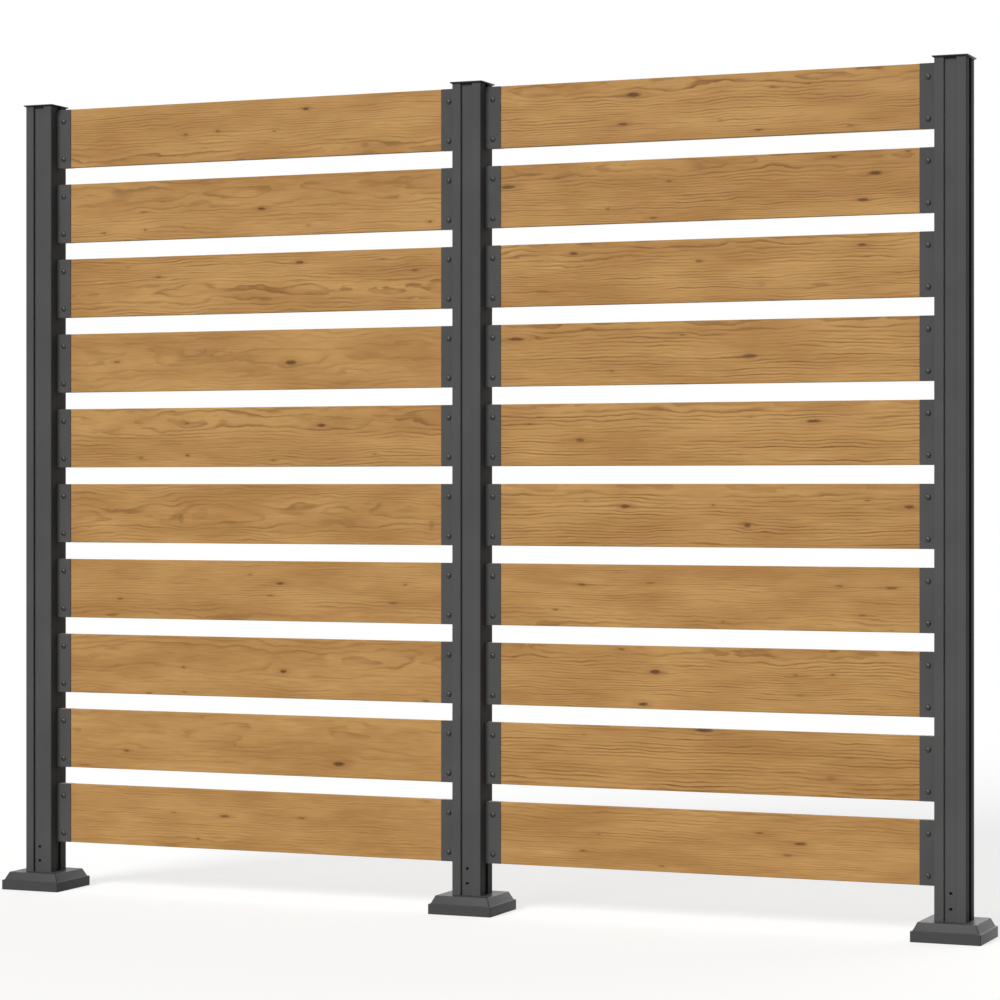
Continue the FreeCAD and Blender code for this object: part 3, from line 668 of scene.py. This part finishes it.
def make_cover(name, material):
    """One base cover: skirt, narrow ledge, sloped shoulder and flat top with the hole for the post."""
    node = "base_cover_" + name
    centre_x, half = middle_and_half(node)
    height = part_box(node)[1].z / MM
    hole = middle_and_half("post_" + name)[1] + COVER_POST_FIT
    outside = [
        (half, 0.0),
        (half, COVER_SKIRT),
        (half - COVER_LEDGE, COVER_SKIRT),
        (half - COVER_LEDGE - COVER_SLOPE_INSET, height),
    ]
    profile = [(size, COVER_CORNER, z) for size, z in outside]
    profile += [(hole, POST_CORNER, height), (hole, POST_CORNER, height - COVER_WALL)]
    profile += [
        (size - COVER_WALL, COVER_CORNER - COVER_WALL, max(z - COVER_WALL, 0.0))
        for size, z in reversed(outside)
    ]
    bm = bmesh.new()
    rings = [square_ring(bm, size, corner, z, centre_x, steps=8) for size, corner, z in profile]
    skin_rings(bm, rings + rings[:1])
    mesh = finish_mesh(bm, node, 20.0)
    piece = add_piece("moulded_" + node, mesh, "cover_" + name, material, node)
    ease_edges(piece, COVER_EDGE, segments=3, angle=18.0)


# ---- Brackets and screws ----

def plank_spans():
    """Lower and upper edge of each row of planks, in millimetres."""
    boxes = [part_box(f"plank_left_bay_{row:02d}") for row in range(1, PLANKS_PER_BAY + 1)]
    return [(low.z / MM, high.z / MM) for low, high in boxes]


def column_face(column):
    """Place along the screen of the post's side that carries a column, and the way it faces."""
    post_name, side = COLUMNS[column]
    low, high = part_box("post_" + post_name)
    return (high.x if side > 0 else low.x) / MM, side


def make_brackets(column, material):
    """The ten brackets of a column: channel and T-shaped foot in one extrusion."""
    face_x, side = column_face(column)
    inner = BRACKET_HALF - BRACKET_SHEET
    half = [
        (-FOOT_FLOOR, FOOT_HALF), (-FOOT_LIP, FOOT_HALF), (-FOOT_LIP, BRACKET_HALF),
        (BRACKET_REACH, BRACKET_HALF), (BRACKET_REACH, inner), (BRACKET_SHEET, inner),
    ]
    outline = half + [(out, -across) for out, across in reversed(half)]
    bm = bmesh.new()
    for low, high in plank_spans():
        add_prism(bm, [[(face_x + side * out, across) for out, across in outline]], low, high)
    node = "plank_brackets_" + column
    piece = add_piece("coated_" + node, finish_mesh(bm, node), "screen", material, node)
    ease_edges(piece, BRACKET_EDGE)


def drive_shape(half_x, half_z):
    """Closed block to cut one slot of a screw's cross drive with; millimetres."""
    bm = bmesh.new()
    bmesh.ops.create_cube(bm, size=2.0)
    bmesh.ops.scale(bm, verts=bm.verts, vec=(half_x, SCREW_DRIVE_DEPTH, half_z))
    bmesh.ops.translate(bm, verts=bm.verts, vec=(0, -SCREW_HEAD_HEIGHT, 0))
    return bm


def screw_mesh():
    """One plank screw at the origin, its head towards -Y; millimetres."""
    radius = SCREW_HEAD_RADIUS
    # A pan head: a short upright rim, then a quarter of an ellipse
    profile = [
        (SCREW_SHANK_RADIUS, SCREW_SHANK),
        (SCREW_SHANK_RADIUS, 0.0),
        (radius, 0.0),
        (radius, -SCREW_HEAD_RIM),
    ]
    dome = SCREW_HEAD_HEIGHT - SCREW_HEAD_RIM
    arc_steps = 9
    for step in range(1, arc_steps):
        angle = step / arc_steps * math.pi / 2
        profile.append((radius * math.cos(angle), -SCREW_HEAD_RIM - dome * math.sin(angle)))
    bm = bmesh.new()
    turns = 40
    rings = []
    for out, along in profile:
        ring = []
        for i in range(turns):
            angle = 2 * math.pi * i / turns
            ring.append(bm.verts.new((out * math.cos(angle), along, out * math.sin(angle))))
        rings.append(ring)
    skin_rings(bm, rings)
    bm.faces.new(rings[0])
    bm.faces.new(rings[-1])
    bmesh.ops.recalc_face_normals(bm, faces=bm.faces)
    mesh = bpy.data.meshes.new("screw")
    bm.to_mesh(mesh)
    bm.free()
    screw = new_object("screw", mesh)
    shaped = cut_away(screw, [
        drive_shape(SCREW_DRIVE_REACH, SCREW_DRIVE_HALF_WIDTH),
        drive_shape(SCREW_DRIVE_HALF_WIDTH, SCREW_DRIVE_REACH),
    ])
    bpy.data.objects.remove(screw)
    return shaped


def make_plank_screws(column, one_screw, material):
    """The twenty screws of a column, each turned a little differently in its bracket."""
    face_x, side = column_face(column)
    turns = random.Random(column)
    bm = bmesh.new()
    for low, high in plank_spans():
        for height in (low + LOWER_SCREW_FROM_PLANK_BOTTOM, high - UPPER_SCREW_FROM_PLANK_TOP):
            start = len(bm.verts)
            bm.from_mesh(one_screw)
            bm.verts.ensure_lookup_table()
            fresh = bm.verts[start:]
            angle = turns.uniform(0, math.pi / 2)
            rotate = Vector((1, 0, 0)).rotation_difference(Vector((math.cos(angle), 0, math.sin(angle))))
            bmesh.ops.rotate(bm, verts=fresh, matrix=rotate.to_matrix())
            place = Vector((face_x + side * SCREW_FROM_POST, -BRACKET_HALF, height))
            bmesh.ops.translate(bm, verts=fresh, vec=place)
    bmesh.ops.scale(bm, verts=bm.verts, vec=(MM, MM, MM))
    node = "plank_screws_" + column
    add_piece("domed_" + node, finish_mesh(bm, node, 40.0), "screen", material, node)


# ---- Floor, background, light and camera ----

# The floor and the sky are plain; a light's place is the direction that it comes from, and its
# spread is in degrees. The back light is for looking at the rear, which the key light leaves dark
FLOOR_COLOUR = "#a8a8a8"
FLOOR_HALF = 60.0
FLOOR_LIFT = 0.656
SKY_LEVEL = 0.2
KEY_FROM = (-0.22, -0.84, 0.50)
KEY_STRENGTH = 2.95
KEY_SPREAD = 26.0
BACK_FROM = (0.10, 0.80, 0.60)
BACK_STRENGTH = 1.1
BACK_SPREAD = 60.0


def seen_directly(tree):
    """1 where the camera, a reflection or a transparent surface looks, 0 where light is gathered."""
    path = add(tree, "LightPath").outputs
    both = add(tree, "Math", {0: path["Is Camera Ray"], 1: path["Is Glossy Ray"]}, operation="MAXIMUM")
    return add(tree, "Math", {0: both, 1: path["Is Transmission Ray"]}, operation="MAXIMUM")


def make_world():
    """White where it is seen, an even pale grey where it lights."""
    world = bpy.data.worlds.new("pale studio")
    world.use_nodes = True
    tree = world.node_tree
    tree.nodes.clear()
    level = add(tree, "MapRange", {"Value": seen_directly(tree), "To Min": SKY_LEVEL, "To Max": 1.0})
    sky = add(tree, "Background", {"Color": (1, 1, 1, 1), "Strength": level})
    add(tree, "OutputWorld", {"Surface": sky})
    bpy.context.scene.world = world


def make_floor():
    """Pale floor that takes the screen's shadow and is lifted to white only where it is seen."""
    material, tree = new_material("pale floor")
    matt = add(tree, "BsdfDiffuse", {"Color": linear(FLOOR_COLOUR)})
    lift = add(tree, "Math", {0: seen_directly(tree), 1: FLOOR_LIFT}, operation="MULTIPLY")
    glow = add(tree, "Emission", {"Color": (1, 1, 1, 1), "Strength": lift})
    finish_material(tree, add(tree, "AddShader", {0: matt, 1: glow}))
    half = FLOOR_HALF
    corners = [(-half, -half, 0), (half, -half, 0), (half, half, 0), (-half, half, 0)]
    mesh = bpy.data.meshes.new("floor")
    mesh.from_pydata(corners, [], [(0, 1, 2, 3)])
    mesh.materials.append(material)
    new_object("floor", mesh)


def make_light(name, comes_from, strength, spread):
    """One broad soft light, far enough away to be even over the screen."""
    light = bpy.data.lights.new(name, "SUN")
    light.energy = strength
    light.angle = math.radians(spread)
    lamp = new_object(name, light)
    lamp.rotation_euler = Vector(comes_from).to_track_quat("Z", "Y").to_euler()


def make_camera():
    """Level camera at the photograph's place and framing."""
    data = bpy.data.cameras.new("camera")
    data.sensor_width = 36.0
    data.lens = CAMERA_LENS
    data.shift_y = CAMERA_SHIFT_Y
    camera = new_object("camera", data)
    camera.location = CAMERA_PLACE
    camera.rotation_euler = (math.radians(90), 0, math.radians(CAMERA_TURN))
    bpy.context.scene.camera = camera


# ---- The screen ----

def dress_node(name, material):
    """Give a CAD node its material."""
    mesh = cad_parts[name].data
    mesh.materials.clear()
    mesh.materials.append(material)


post_coat = powder_coat("powder-coated aluminium, posts")
bracket_coat = powder_coat("powder-coated aluminium, brackets")
moulded = moulded_abs("moulded ABS")
screw_finish = blackened_steel("blackened stainless steel")
zinc = galvanised_steel("hot-dip galvanised steel")
foot_screw_finish = black_oxide("black oxide on steel")

for post_name in POSTS:
    make_post(post_name, post_coat)
    make_cap(post_name, moulded)
    make_cover(post_name, moulded)
    dress_node("floor_flange_" + post_name, zinc)
    dress_node("foot_screws_" + post_name, foot_screw_finish)

one_screw = screw_mesh()
for column in COLUMNS:
    make_brackets(column, bracket_coat)
    dress_node("slot_spacers_" + column, bracket_coat)
    make_plank_screws(column, one_screw, screw_finish)
dress_node("bracket_stop_screws", screw_finish)

knot = knot_group()
for seed, plank in enumerate(KNOTS):
    dress_node("plank_" + plank, softwood("oiled softwood, " + plank.replace("_", " "), plank, knot, seed))

bpy.context.scene.view_settings.view_transform = "Standard"
make_world()
make_floor()
make_light("key", KEY_FROM, KEY_STRENGTH, KEY_SPREAD)
make_light("back light", BACK_FROM, BACK_STRENGTH, BACK_SPREAD)
make_camera()
